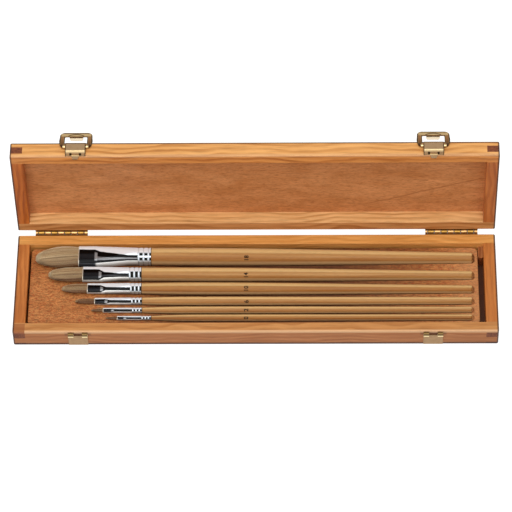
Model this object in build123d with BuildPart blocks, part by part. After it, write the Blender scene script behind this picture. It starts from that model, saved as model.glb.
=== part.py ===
from build123d import *
from dataclasses import dataclass
import math
import os

# A wooden box of six artists' brushes, standing open.
# +X runs right along the case, +Y towards its hinged side and +Z up. The origin is the middle of
# the base's underside. The lid stands open and its latch loops are thrown back over its edge.

# Case
case_length = 370.0
case_depth = 92.0
base_height = 17.2
lid_height = 13.7
side_wall = 9.4
long_wall = 8.6
panel_thickness = 3.0
panel_rebate = 4.5
panel_play = 0.15
outer_round = 1.2
rim_round = 0.4
first_finger = 3.2
finger = 6.0
saw_kerf = 0.7
rim_gap = 0.3
lid_open_angle = 90.0

# Insert board and the stop block beside it
board_end_play = 1.2
finger_room = 4.5
board_side_play = 1.2
board_top_drop = 4.2
board_seat_gap = 0.1
board_corner = 4.0
board_edge_round = 0.8
block_play = 0.4
block_length = 11.0
block_drop = 4.6
block_round = 1.8

# Strip hinges
hinge_inset = 33.7
hinge_offset = 2.65
barrel_radius = 1.45
pin_radius = 0.6
pin_clearance = 0.05
end_knuckles = (2.0, 2.9)
knuckle_width = 5.1
middle_knuckles = 7
knuckle_gap = 0.2
leaf_thickness = 0.95
leaf_height = 10.25
leaf_start = 0.1
web_start = 0.95
web_height = 2.4
screw_pitch = 14.0
screws_per_leaf = 3
screw_drop = 6.3
screw_shank_radius = 0.75
screw_head_radius = 1.5
screw_head_height = 0.7
screw_length = 6.5
screw_play = 0.05
screw_slot_width = 0.4
screw_slot_depth = 0.3

# Latches
latch_inset = 49.8
latch_metal = 0.6
housing_width = 15.3
housing_height = 3.0
housing_rear = 11.0
housing_front = 3.3
apron_start = 2.1
apron_end = 0.3
housing_round = 0.45
tongue_root_width = 5.8
tongue_tip_width = 4.0
tongue_reach = 2.9
tongue_lift = 0.25
prong_width = 1.3
prong_depth = 3.5
prong_play = 0.1
notch_width = 1.4
notch_length = 1.5
notch_offset = 3.65
pivot_drop = 8.0
pivot_height = 1.8
pivot_radius = 0.5
pivot_clearance = 0.04
pivot_chamfer = 0.15
eye_radius = 1.0
eye_width = 1.75
eye_side_play = 0.2
loop_metal = 0.9
loop_foot_half_width = 10.7
loop_foot_drop = 1.25
loop_half_width = 12.7
loop_window_half_width = 8.45
loop_draw_in = 0.4
loop_reach = 17.0
loop_bar_width = 4.5
loop_corner = 4.0
loop_inner_corner = 1.0
loop_rest_angle = 194.0
tab_width = 10.4
tab_length = 5.0
tab_metal = 0.8
tab_angle = 44.0
tab_root_inset = 1.3
tab_corner = 1.6
catch_width = 14.9
catch_metal = 0.8
catch_top = 4.4
catch_bottom = 15.7
hook_inner = 3.3
hook_reach = 2.6
hook_top = 0.2
hook_height = 3.6
hook_round = 1.2
catch_prong_spacing = 10.0
catch_prong_drop = 11.5

# Grooves and what the six brushes share
tail_room = 9.7
tail_line_slope = 0.031
front_gap = 2.6
groove_clearance = 0.3
groove_end_gap = 2.0
groove_end_round = 0.6
groove_head_gap = 3.0
belly_setback = 142.2
tail_round = 0.9
ferrule_metal = 0.45
ferrule_corner_share = 0.96
flat_press = 0.94
tenon_play = 0.05
crimps = 3
crimp_depth = 0.22
crimp_radius = 0.8
crimp_first = 2.3
hair_plug = 5.0
hair_recess = 0.4
hair_root_inset = 1.2
hair_side_share = 0.42
hair_fill = 0.78
hair_tip_fill = 0.6
hair_tip_pitch = 0.18


@dataclass
class Brush:
    """The sizes of one brush, the gap behind it and what it lacks of the room's length."""

    number: int
    gap: float
    lack: float
    hair: float
    ferrule: float
    tail_radius: float
    belly_radius: float
    ferrule_radius: float
    mouth_width: float
    mouth_height: float
    flat: float
    crimp_pitch: float
    depth: float
    columns: int
    layers: int


brushes = [
    Brush(
        number=18, gap=3.43, lack=13.9, hair=33.3, ferrule=56.5,
        tail_radius=4.5, belly_radius=7.17, ferrule_radius=6.95,
        mouth_width=18.0, mouth_height=8.0, flat=12.5, crimp_pitch=3.8,
        depth=4.2, columns=26, layers=5,
    ),
    Brush(
        number=14, gap=3.93, lack=25.0, hair=26.4, ferrule=45.8,
        tail_radius=3.5, belly_radius=5.6, ferrule_radius=5.45,
        mouth_width=13.4, mouth_height=6.0, flat=11.5, crimp_pitch=3.5,
        depth=3.0, columns=20, layers=5,
    ),
    Brush(
        number=10, gap=2.6, lack=36.2, hair=19.6, ferrule=42.1,
        tail_radius=3.2, belly_radius=5.0, ferrule_radius=4.25,
        mouth_width=8.9, mouth_height=4.5, flat=10.0, crimp_pitch=3.0,
        depth=2.6, columns=14, layers=5,
    ),
    Brush(
        number=6, gap=2.57, lack=47.3, hair=14.7, ferrule=36.9,
        tail_radius=2.9, belly_radius=3.53, ferrule_radius=2.75,
        mouth_width=5.6, mouth_height=3.2, flat=8.6, crimp_pitch=2.8,
        depth=2.0, columns=10, layers=5,
    ),
    Brush(
        number=2, gap=1.85, lack=60.0, hair=9.1, ferrule=30.3,
        tail_radius=2.4, belly_radius=2.92, ferrule_radius=2.0,
        mouth_width=4.0, mouth_height=2.2, flat=6.3, crimp_pitch=2.5,
        depth=1.7, columns=10, layers=3,
    ),
    Brush(
        number=0, gap=1.58, lack=71.7, hair=8.6, ferrule=26.5,
        tail_radius=2.4, belly_radius=2.7, ferrule_radius=1.6,
        mouth_width=3.4, mouth_height=2.0, flat=4.8, crimp_pitch=2.4,
        depth=1.6, columns=7, layers=3,
    ),
]

# Sizes that follow from the ones above
inner_length = case_length - 2 * side_wall
inner_depth = case_depth - 2 * long_wall
uncut_height = base_height + saw_kerf + lid_height
lid_rim_z = base_height + rim_gap
hinge_centre = case_length / 2 - hinge_inset
latch_centre = case_length / 2 - latch_inset
hinge_y = case_depth / 2 + hinge_offset
hinge_z = base_height + rim_gap / 2
hinge_length = sum(end_knuckles) + middle_knuckles * knuckle_width
board_top = base_height - board_top_drop
board_bottom = panel_thickness + board_seat_gap
board_depth = inner_depth - 2 * board_side_play
board_length = inner_length - board_end_play - finger_room
board_x = -inner_length / 2 + board_end_play + board_length / 2
tail_x = inner_length / 2 - tail_room
belly_reach = inner_length - belly_setback
spare_depth = board_depth - sum(2 * brush.belly_radius for brush in brushes)
gap_scale = spare_depth / (sum(brush.gap for brush in brushes) + front_gap)
eye_inner = housing_width / 2 + eye_side_play
eye_outer = eye_inner + eye_width

on_floor = (Align.CENTER, Align.CENTER, Align.MIN)

# The lid's pieces are modelled shut, and this turn about the hinge pins stands them open.
lid_swing = (
    Location((0, hinge_y, hinge_z))
    * Rotation(-lid_open_angle, 0, 0)
    * Location((0, -hinge_y, -hinge_z))
)
base_place = Location((0, 0, 0))
shut_lid_plane = Plane(origin=(0, 0, lid_rim_z + lid_height), x_dir=(1, 0, 0), z_dir=(0, 0, -1))
lid_place = lid_swing * shut_lid_plane.location


def save(piece, name, place=base_place):
    """Stand a finished piece in its place, label it and write it out."""
    piece.part = piece.part.moved(place)
    piece.part.label = name
    export_step(piece.part, f"parts/{name}.step")


# Wooden case


def finger_bands(low, high):
    """List the corner fingers between two heights of the case before it is sawn apart."""
    bands = []
    bottom, top, side_shows = 0.0, first_finger, True
    while bottom < high:
        if top > low:
            bands.append((max(bottom, low), min(top, high), side_shows))
        bottom, top, side_shows = top, top + finger, not side_shows
    return bands


def case_shell(height):
    """Make the four walls of one case half in one, lying on its panel side."""
    with BuildPart() as shell:
        Box(case_length, case_depth, height, align=on_floor)
        upright = shell.edges().filter_by(Axis.Z)
        foot = shell.faces().sort_by(Axis.Z)[0].edges()
        fillet(upright + foot, outer_round)
        fillet(shell.faces().sort_by(Axis.Z)[-1].edges(), rim_round)
        Box(inner_length, inner_depth, height, align=on_floor, mode=Mode.SUBTRACT)
        fillet(shell.faces().sort_by(Axis.Z)[-1].inner_wires()[0].edges(), rim_round)
        Box(
            inner_length + 2 * panel_rebate,
            inner_depth + 2 * panel_rebate,
            panel_thickness,
            align=on_floor,
            mode=Mode.SUBTRACT,
        )
    return shell.part


def screw_columns():
    """List the hinge screws' places along the case."""
    middle = (screws_per_leaf - 1) / 2
    return [
        side * hinge_centre + (index - middle) * screw_pitch
        for side in (-1, 1)
        for index in range(screws_per_leaf)
    ]


def case_half(prefix, height, bands, front, prongs, place):
    """Make a half's walls and panel. front is -1 or 1, the side of the latches in its own frame."""
    shell = case_shell(height)

    for name, side in (("front", front), ("rear", -front)):
        with BuildPart() as wall:
            for low, high, side_shows in bands:
                with Locations((0, side * (case_depth - long_wall) / 2, low)):
                    reach = inner_length if side_shows else case_length
                    Box(reach, long_wall, high - low, align=on_floor)
            add(shell, mode=Mode.INTERSECT)
            face_y = side * case_depth / 2
            if side == front:
                for x, drop, width, length in prongs:
                    with Locations((x, face_y, height - drop)):
                        Box(width, 2 * prong_depth + 2 * prong_play, length, mode=Mode.SUBTRACT)
            else:
                outer_face = Plane(
                    origin=(0, face_y, height + rim_gap / 2 - screw_drop),
                    x_dir=(1, 0, 0),
                    z_dir=(0, side, 0),
                )
                with BuildSketch(outer_face):
                    with Locations(*[(x, 0) for x in screw_columns()]):
                        Circle(screw_shank_radius + screw_play)
                extrude(amount=-screw_length, mode=Mode.SUBTRACT)
        save(wall, f"{prefix}_{name}_wall", place)

    for name, side in (("left", -1), ("right", 1)):
        with BuildPart() as wall:
            for low, high, side_shows in bands:
                with Locations((side * (case_length - side_wall) / 2, 0, low)):
                    reach = case_depth if side_shows else inner_depth
                    Box(side_wall, reach, high - low, align=on_floor)
            add(shell, mode=Mode.INTERSECT)
        save(wall, f"{prefix}_{name}_wall", place)

    with BuildPart() as panel:
        Box(
            inner_length + 2 * (panel_rebate - panel_play),
            inner_depth + 2 * (panel_rebate - panel_play),
            panel_thickness,
            align=on_floor,
        )
    save(panel, f"{prefix}_panel", place)


catch_slots = [
    (
        side * latch_centre + end * catch_prong_spacing / 2,
        catch_prong_drop,
        prong_width + 2 * prong_play,
        catch_metal + 2 * prong_play,
    )
    for side in (-1, 1)
    for end in (-1, 1)
]
notch_slots = [
    (
        side * latch_centre + end * notch_offset,
        apron_end + latch_metal + notch_length / 2,
        notch_width,
        notch_length + 4 * prong_play,
    )
    for side in (-1, 1)
    for end in (-1, 1)
]
lid_bands = [
    (uncut_height - high, uncut_height - low, side_shows)
    for low, high, side_shows in finger_bands(uncut_height - lid_height, uncut_height)
]
case_half_data = [
    ("base", base_height, finger_bands(0, base_height), -1, catch_slots, base_place),
    ("lid", lid_height, lid_bands, 1, notch_slots, lid_place),
]


def stop_block():
    """Make the small block in the rear right corner that keeps the insert board to the left."""
    width = finger_room - block_play
    with BuildPart() as block:
        with BuildSketch(Plane.XY.offset(panel_thickness)):
            with Locations((inner_length / 2 - width / 2, inner_depth / 2 - block_length / 2)):
                Rectangle(width, block_length)
        extrude(amount=base_height - block_drop - panel_thickness)
        front_edges = block.edges().filter_by(Axis.Z).group_by(Axis.Y)[0]
        fillet(front_edges, block_round)
    save(block, "insert_stop_block")


# Strip hinges


def knuckle_spans():
    """List where each knuckle starts and ends along a hinge, counted from the hinge's middle."""
    widths = [end_knuckles[0]] + [knuckle_width] * middle_knuckles + [end_knuckles[1]]
    start = -hinge_length / 2
    spans = []
    for width in widths:
        spans.append((start + knuckle_gap / 2, start + width - knuckle_gap / 2))
        start += width
    return spans


def hinge_leaf(spans):
    """Make a leaf hanging down from the hinge axis, its wood side towards -Y."""
    wood = -hinge_offset
    outer = wood + leaf_thickness
    with BuildPart() as leaf:
        with BuildSketch(Plane.YZ):
            with BuildLine():
                Polyline(
                    (wood, -leaf_start),
                    (outer, -leaf_start),
                    (outer, -leaf_start - leaf_height),
                    (wood, -leaf_start - leaf_height),
                    close=True,
                )
            make_face()
        extrude(amount=hinge_length / 2, both=True)
        for start, end in spans:
            with BuildSketch(Plane.YZ.offset(start)):
                with BuildLine():
                    Polyline(
                        (wood, -web_start),
                        (wood, -web_start - web_height),
                        (outer, -web_start - web_height),
                        (0, -barrel_radius),
                        (0, 0),
                        close=True,
                    )
                make_face()
                Circle(barrel_radius)
            extrude(amount=end - start)
        with BuildSketch(Plane.YZ.offset(-hinge_length / 2)):
            Circle(pin_radius + pin_clearance)
        extrude(amount=hinge_length, mode=Mode.SUBTRACT)
        outer_face = Plane(origin=(0, outer, -screw_drop), x_dir=(1, 0, 0), z_dir=(0, 1, 0))
        with Locations(outer_face):
            with GridLocations(screw_pitch, 1, screws_per_leaf, 1):
                CounterSinkHole(
                    screw_shank_radius + screw_play,
                    screw_head_radius + screw_play,
                    depth=2 * leaf_thickness,
                    counter_sink_angle=90,
                )
    return leaf


def hinges():
    """Make both strip hinges with their pins."""
    for name, side in (("left", -1), ("right", 1)):
        centre = Location((side * hinge_centre, hinge_y, hinge_z))
        spans = knuckle_spans()
        save(hinge_leaf(spans[0::2]), f"{name}_hinge_base_leaf", centre)
        shut = Plane(origin=centre.position, x_dir=(-1, 0, 0), z_dir=(0, 0, -1))
        turned = [(-end, -start) for start, end in spans[1::2]]
        save(hinge_leaf(turned), f"{name}_hinge_lid_leaf", lid_swing * shut.location)
        with BuildPart() as pin:
            with BuildSketch(Plane.YZ):
                Circle(pin_radius)
            extrude(amount=(hinge_length - knuckle_gap) / 2, both=True)
        save(pin, f"{name}_hinge_pin", centre)


def hinge_screws():
    """Make the countersunk screws of the base leaves and of the lid leaves."""
    with BuildPart() as screw:
        with BuildSketch(Plane.XZ):
            with BuildLine():
                Polyline(
                    (0, 0),
                    (screw_head_radius, 0),
                    (screw_shank_radius, -screw_head_height),
                    (screw_shank_radius, -screw_length),
                    (0, -screw_length - screw_shank_radius),
                    close=True,
                )
            make_face()
        revolve(axis=Axis.Z)
        with Locations((0, 0, -screw_slot_depth)):
            Box(
                2 * screw_head_radius,
                screw_slot_width,
                screw_slot_depth,
                align=on_floor,
                mode=Mode.SUBTRACT,
            )
    face_y = case_depth / 2 + leaf_thickness
    for half, direction, place in (("base", -1, base_place), ("lid", 1, lid_swing)):
        with BuildPart() as screws:
            z = hinge_z + direction * screw_drop
            face = Plane(origin=(0, face_y, z), x_dir=(1, 0, 0), z_dir=(0, 1, 0))
            with Locations(face):
                with Locations(*[(x, 0) for x in screw_columns()]):
                    add(screw.part)
        save(screws, f"hinge_{half}_screws", place)


# Latches. In a latch's own frame X runs along the case, Y points out of the wood, Z points past
# the rim towards the other half, and the origin is on the rim's outer edge.


def latch_plate():
    """Make the lid's folded plate: a housing for the pivot, an apron on the wood and a tongue."""
    top, inside = housing_height, housing_height - latch_metal
    slope = (housing_height - latch_metal) / (housing_front - apron_start)
    with BuildPart() as tongue:
        with BuildSketch(Plane.YZ):
            with BuildLine():
                Polyline(
                    (0, -apron_start),
                    (latch_metal, -apron_start),
                    (latch_metal + tongue_lift, -apron_end),
                    (latch_metal + tongue_lift, tongue_reach),
                    (tongue_lift, tongue_reach),
                    (tongue_lift, -apron_end),
                    (0, -2 * apron_end),
                    close=True,
                )
            make_face()
        extrude(amount=tongue_root_width / 2, both=True)
        with BuildSketch(Plane.XZ):
            with BuildLine():
                Polyline(
                    (-tongue_root_width / 2, -apron_start),
                    (tongue_root_width / 2, -apron_start),
                    (tongue_root_width / 2, -apron_end),
                    (tongue_tip_width / 2, tongue_reach),
                    (-tongue_tip_width / 2, tongue_reach),
                    (-tongue_root_width / 2, -apron_end),
                    close=True,
                )
            make_face()
        extrude(amount=housing_height, both=True, mode=Mode.INTERSECT)
    with BuildPart() as plate:
        with BuildSketch(Plane.YZ) as cheek:
            with BuildLine():
                Polyline(
                    (0, -housing_rear),
                    (top, -housing_rear),
                    (top, -housing_front),
                    (latch_metal, -apron_start),
                    (latch_metal, -apron_end),
                    (0, -apron_end),
                    close=True,
                )
            make_face()
        extrude(amount=housing_width / 2, both=True)
        bend = plate.edges().filter_by(Axis.X).group_by(Axis.Y)[-1]
        side_folds = plate.faces().sort_by(Axis.Y)[-1].edges().filter_by(Axis.Z)
        fillet(bend.sort_by(Axis.Z)[-1:] + side_folds, housing_round)
        with BuildSketch(Plane.YZ):
            with BuildLine():
                Polyline(
                    (0, -housing_rear),
                    (inside, -housing_rear),
                    (inside, -housing_front - latch_metal / 2),
                    (0, -housing_front - latch_metal / 2 + inside / slope),
                    close=True,
                )
            make_face()
        extrude(amount=housing_width / 2 - latch_metal, both=True, mode=Mode.SUBTRACT)
        for end in (-1, 1):
            with Locations((end * notch_offset, 0, -apron_end - latch_metal - notch_length / 2)):
                Box(notch_width, 4 * latch_metal, notch_length, mode=Mode.SUBTRACT)
            rear_of_notch = -apron_end - latch_metal - notch_length - prong_play
            with Locations((end * notch_offset, latch_metal, rear_of_notch)):
                Box(
                    notch_width - 2 * prong_play,
                    prong_depth + latch_metal,
                    latch_metal,
                    align=(Align.CENTER, Align.MAX, Align.MIN),
                )
        add(tongue.part)
        with BuildSketch(Plane.YZ.offset(-housing_width / 2)):
            with Locations((pivot_height, -pivot_drop)):
                Circle(pivot_radius + pivot_clearance)
        extrude(amount=housing_width, mode=Mode.SUBTRACT)
    return plate


def pivot_pin():
    """Make the pivot that the loop's eyes turn on."""
    with BuildPart() as pin:
        with BuildSketch(Plane.YZ):
            Circle(pivot_radius)
        extrude(amount=eye_outer, both=True)
        chamfer(pin.edges(), pivot_chamfer)
    return pin


def latch_loop():
    """Make the stamped loop about its pivot, with the bar towards +Z and the thumb tab towards +Y."""
    bar_inner = loop_reach - loop_bar_width
    shoulder = loop_reach - loop_corner
    top_half_width = loop_half_width - loop_draw_in
    foot = -loop_foot_drop
    foot_half_width = loop_window_half_width - loop_foot_drop
    with BuildPart() as loop:
        with BuildSketch(Plane.XZ):
            with BuildLine():
                for side in (-1, 1):
                    Spline(
                        (side * foot_half_width, foot),
                        (side * loop_foot_half_width, 0),
                        (side * loop_half_width, 0.5 * shoulder),
                        (side * top_half_width, shoulder),
                        tangents=((side, 0), (-0.05 * side, 1)),
                    )
                    ThreePointArc(
                        (side * top_half_width, shoulder),
                        (
                            side * (top_half_width - (1 - math.sqrt(0.5)) * loop_corner),
                            shoulder + math.sqrt(0.5) * loop_corner,
                        ),
                        (side * (top_half_width - loop_corner), loop_reach),
                    )
                Line(
                    (loop_corner - top_half_width, loop_reach),
                    (top_half_width - loop_corner, loop_reach),
                )
                Line((-foot_half_width, foot), (foot_half_width, foot))
            make_face()
            with Locations((0, bar_inner)):
                Rectangle(
                    2 * loop_window_half_width,
                    2 * bar_inner,
                    align=(Align.CENTER, Align.MAX),
                    mode=Mode.SUBTRACT,
                )
        extrude(amount=loop_metal / 2, both=True)
        inner_corners = loop.edges().filter_by(Axis.Y).filter_by_position(
            Axis.Z, bar_inner - 0.01, bar_inner + 0.01
        )
        fillet(inner_corners, loop_inner_corner)
        tab_plane = Plane(
            origin=(0, 0, loop_reach - tab_root_inset),
            x_dir=(1, 0, 0),
            z_dir=(0, math.cos(math.radians(tab_angle)), math.sin(math.radians(tab_angle))),
        )
        with BuildSketch(tab_plane) as tab:
            Rectangle(tab_width, tab_length, align=(Align.CENTER, Align.MIN))
            fillet(tab.vertices().group_by(Axis.Y)[-1], tab_corner)
        extrude(amount=tab_metal)
        for side in (-1, 1):
            start = eye_inner if side > 0 else -eye_outer
            with BuildSketch(Plane.YZ.offset(start)):
                Circle(eye_radius)
            extrude(amount=eye_width)
        with BuildSketch(Plane.YZ.offset(-eye_outer)):
            Circle(pivot_radius + pivot_clearance)
        extrude(amount=2 * eye_outer, mode=Mode.SUBTRACT)
    return loop


def catch_plate():
    """Make the base's catch plate with its two rolled hooks and the prongs that hold it."""
    with BuildPart() as catch:
        with BuildSketch(Plane.XZ):
            with Locations((0, (catch_top + catch_bottom) / 2)):
                Rectangle(catch_width, catch_bottom - catch_top)
        extrude(amount=-catch_metal)
        for start in (hook_inner, -catch_width / 2):
            with BuildSketch(Plane.YZ.offset(start)) as hook:
                with Locations((hook_reach / 2, hook_top + hook_height / 2)):
                    Rectangle(hook_reach, hook_height)
                fillet(hook.vertices().group_by(Axis.Y)[0], hook_round)
                with Locations((hook_reach / 2, hook_top + catch_metal)):
                    Rectangle(
                        hook_reach - 2 * catch_metal,
                        hook_height,
                        align=(Align.CENTER, Align.MIN),
                        mode=Mode.SUBTRACT,
                    )
                with Locations((catch_metal / 2, hook_top + hook_round)):
                    Rectangle(
                        catch_metal,
                        catch_top - hook_top,
                        align=(Align.CENTER, Align.MIN),
                    )
            extrude(amount=catch_width / 2 - hook_inner)
        with Locations((0, 0, catch_prong_drop)):
            with GridLocations(catch_prong_spacing, 1, 2, 1):
                Box(
                    prong_width,
                    prong_depth,
                    catch_metal,
                    align=(Align.CENTER, Align.MAX, Align.CENTER),
                )
    return catch


def latches():
    """Make both latches and stand their loops back over the lid."""
    pivot = Location((0, pivot_height, -pivot_drop))
    thrown_back = pivot * Rotation(-loop_rest_angle, 0, 0)
    for name, side in (("left", -1), ("right", 1)):
        origin = (side * latch_centre, -case_depth / 2)
        on_lid = Plane(origin=(*origin, lid_rim_z), x_dir=(1, 0, 0), z_dir=(0, 0, -1))
        on_base = Plane(origin=(*origin, base_height), x_dir=(1, 0, 0), z_dir=(0, 0, -1))
        lid_latch = lid_swing * on_lid.location
        save(latch_plate(), f"{name}_latch_plate", lid_latch)
        save(pivot_pin(), f"{name}_latch_pivot", lid_latch * pivot)
        save(latch_loop(), f"{name}_latch_loop", lid_latch * thrown_back)
        save(catch_plate(), f"{name}_latch_catch", on_base.location)


# Brushes. In a brush's own frame the axis is X, the handle's tail is at the origin and Z is up.


def groove_row(brush):
    """Give a groove's place across the board. The gaps share the depth that the bellies leave."""
    behind = brushes[: brushes.index(brush)]
    taken = sum(other.gap * gap_scale + 2 * other.belly_radius for other in behind)
    return board_depth / 2 - taken - brush.gap * gap_scale - brush.belly_radius


def brush_place(brush):
    """Lay a brush in its groove: the groove's floor is level, so the axis rises to the belly."""
    row = groove_row(brush)
    x = tail_x + tail_line_slope * row
    z = board_top - brush.depth + brush.tail_radius
    rise = math.atan((brush.belly_radius - brush.tail_radius) / belly_reach)
    lying = Plane(
        origin=(x, row, z),
        x_dir=(-math.cos(rise), 0, math.sin(rise)),
        z_dir=(math.sin(rise), 0, math.cos(rise)),
    )
    return lying.location


def handle_end(brush):
    """Give the distance from the tail to the ferrule."""
    return inner_length - brush.lack - brush.hair - brush.ferrule


def handle_curve(brush, start, extra):
    """Draw the handle's side from a point near the tail to the ferrule, moved out by extra."""
    end = handle_end(brush)
    fall = (brush.belly_radius - brush.ferrule_radius) / (end - belly_reach)
    climb = (brush.belly_radius - brush.tail_radius) / belly_reach
    belly = (belly_reach, brush.belly_radius + extra)
    Spline((start, brush.tail_radius + extra), belly, tangents=((1, climb), (1, 0)))
    return Spline(belly, (end, brush.ferrule_radius + extra), tangents=((1, 0), (1, -2 * fall)))


def round_end(brush):
    """Give the distance from the tail to the end of the ferrule's round, crimped stretch."""
    return handle_end(brush) + crimp_first + crimps * brush.crimp_pitch


def handle(brush):
    """Turn the handle, with its rounded tail and the tenon inside the ferrule."""
    end = handle_end(brush)
    tenon = brush.ferrule_radius - ferrule_metal - tenon_play
    tenon_end = round_end(brush)
    with BuildPart() as turned:
        with BuildSketch(Plane.XZ):
            with BuildLine():
                Line((0, 0), (0, brush.tail_radius - tail_round))
                ThreePointArc(
                    (0, brush.tail_radius - tail_round),
                    (
                        (1 - math.sqrt(0.5)) * tail_round,
                        brush.tail_radius - (1 - math.sqrt(0.5)) * tail_round,
                    ),
                    (tail_round, brush.tail_radius),
                )
                side = handle_curve(brush, tail_round, 0)
                Polyline(
                    side @ 1,
                    (end, tenon),
                    (tenon_end, tenon),
                    (tenon_end, 0),
                    (0, 0),
                )
            make_face()
        revolve(axis=Axis.X)
    return turned


def groove(brush):
    """Make the shape that a brush's groove takes out of the board, with room for its ferrule."""
    extra = groove_clearance
    tail = brush.tail_radius + extra
    head = brush.ferrule_radius + extra
    head_end = handle_end(brush) + brush.ferrule - groove_head_gap
    corner = groove_end_round * tail
    head_corner = groove_end_round * head
    with BuildPart() as cutter:
        with BuildSketch(Plane.XZ):
            with BuildLine():
                Line((-groove_end_gap, 0), (-groove_end_gap, tail - corner))
                JernArc(
                    (-groove_end_gap, tail - corner),
                    tangent=(0, 1),
                    radius=corner,
                    arc_size=-90,
                )
                side = handle_curve(brush, corner - groove_end_gap, extra)
                Line(side @ 1, (head_end - head_corner, head))
                JernArc(
                    (head_end - head_corner, head),
                    tangent=(1, 0),
                    radius=head_corner,
                    arc_size=-90,
                )
                Polyline((head_end, head - head_corner), (head_end, 0), (-groove_end_gap, 0))
            make_face()
        revolve(axis=Axis.X)
        for place, width, height, rounding in ferrule_sections(brush, 0):
            with BuildSketch(Plane.YZ.offset(place)):
                RectangleRounded(width + 2 * extra, height, rounding)
        loft(ruled=True)
    return cutter.part.moved(brush_place(brush))


def ferrule_sections(brush, inset):
    """List a ferrule's rounded sections as distance from the tail, width, height and corner."""
    mouth = handle_end(brush) + brush.ferrule
    radius = brush.ferrule_radius
    sections = []
    for place, pressed in ((round_end(brush), 0), (mouth - brush.flat, flat_press), (mouth, 1)):
        width = 2 * radius + pressed * (brush.mouth_width - 2 * radius)
        height = 2 * radius + pressed * (brush.mouth_height - 2 * radius)
        corner = ferrule_corner_share * height / 2
        sections.append((place, width - 2 * inset, height - 2 * inset, corner - inset))
    return sections


def ferrule(brush):
    """Form the ferrule: a round crimped tube at the handle, pressed flat towards the mouth."""
    start = handle_end(brush)
    radius = brush.ferrule_radius
    with BuildPart() as tube:
        for inset, mode in ((0, Mode.ADD), (ferrule_metal, Mode.SUBTRACT)):
            sections = ferrule_sections(brush, inset)
            with BuildSketch(Plane.YZ.offset(start)):
                Circle(radius - inset)
            extrude(amount=sections[0][0] - start, mode=mode)
            for place, width, height, corner in sections:
                with BuildSketch(Plane.YZ.offset(place)):
                    RectangleRounded(width, height, corner)
            loft(ruled=True, mode=mode)
        with BuildSketch(Plane.XZ):
            for index in range(crimps):
                place = start + crimp_first + index * brush.crimp_pitch
                with Locations((place, radius - crimp_depth + crimp_radius)):
                    Circle(crimp_radius)
        revolve(axis=Axis.X, mode=Mode.SUBTRACT)
    return tube


def strand(root, tip, root_size, tip_size):
    """Make one four-sided strand that tapers from its root to its tip."""
    ends = []
    for (x, y, z), (width, height) in ((root, root_size), (tip, tip_size)):
        corners = [
            (x, y + side * width / 2, z + rise * height / 2)
            for side, rise in ((-1, -1), (1, -1), (1, 1), (-1, 1))
        ]
        ends.append(Wire.make_polygon(corners))
    return Solid.make_loft(ends, ruled=True)


def hair(brush):
    """Set a filbert head: straight strands in columns, shorter to the sides, thin at the tip."""
    mouth, *plug = ferrule_sections(brush, ferrule_metal + tenon_play)[-1]
    half_width, half_height, corner = plug[0] / 2, plug[1] / 2, plug[2]
    column_pitch = 2 * half_width / brush.columns
    strands = []
    for column in range(brush.columns):
        y = (column + 0.5) * column_pitch - half_width
        outer_edge = abs(y) + hair_fill * column_pitch / 2
        spread = math.sqrt(1 - (outer_edge / half_width) ** 2)
        reach = brush.hair * (hair_side_share + (1 - hair_side_share) * spread)
        past_flat = max(outer_edge - (half_width - corner), 0)
        root_height = half_height - corner + math.sqrt(corner**2 - past_flat**2)
        root_pitch = 2 * root_height / brush.layers
        tip_pitch = min(root_pitch, hair_tip_pitch)
        root_size = (hair_fill * column_pitch, hair_fill * root_pitch)
        tip_size = (hair_tip_fill * column_pitch, hair_fill * tip_pitch)
        for layer in range(brush.layers):
            step = layer - (brush.layers - 1) / 2
            root = (mouth - hair_root_inset, y, step * root_pitch)
            tip = (mouth + reach, y, step * tip_pitch)
            strands.append(strand(root, tip, root_size, tip_size))
    with BuildPart() as head:
        with BuildSketch(Plane.YZ.offset(mouth - hair_plug)):
            RectangleRounded(*plug)
        extrude(amount=hair_plug - hair_recess)
        add(strands)
    return head


def insert_board():
    """Make the board that the brushes lie on, with one round-bottomed groove for each."""
    with BuildPart() as board:
        with BuildSketch(Plane.XY.offset(board_bottom)):
            with Locations((board_x, 0)):
                RectangleRounded(board_length, board_depth, board_corner)
        extrude(amount=board_top - board_bottom)
        fillet(board.faces().sort_by(Axis.Z)[-1].edges(), board_edge_round)
        for brush in brushes:
            add(groove(brush), mode=Mode.SUBTRACT)
    save(board, "insert_board")


os.makedirs("parts", exist_ok=True)
for half in case_half_data:
    case_half(*half)
stop_block()
insert_board()
hinges()
hinge_screws()
latches()
for brush in brushes:
    place = brush_place(brush)
    save(handle(brush), f"brush_{brush.number}_handle", place)
    save(ferrule(brush), f"brush_{brush.number}_ferrule", place)
    save(hair(brush), f"brush_{brush.number}_hair", place)
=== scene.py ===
import math
import random

import bmesh
import bpy
from mathutils import Matrix, Vector
from mathutils.bvhtree import BVHTree


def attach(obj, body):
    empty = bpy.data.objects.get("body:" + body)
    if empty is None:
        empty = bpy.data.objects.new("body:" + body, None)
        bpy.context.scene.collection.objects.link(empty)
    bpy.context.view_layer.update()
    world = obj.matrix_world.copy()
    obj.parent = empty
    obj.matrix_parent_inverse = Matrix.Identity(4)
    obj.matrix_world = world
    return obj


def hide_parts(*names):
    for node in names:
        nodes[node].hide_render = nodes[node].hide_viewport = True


bl_info = {
    "name": "Wooden Brush Box",
    "version": (1, 0, 0),
    "blender": (4, 5, 0),
    "location": "View3D > Sidebar > Brush Box",
    "description": "Finishes a finger-jointed brush box with six long filbert brushes",
    "category": "Object",
}

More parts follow.
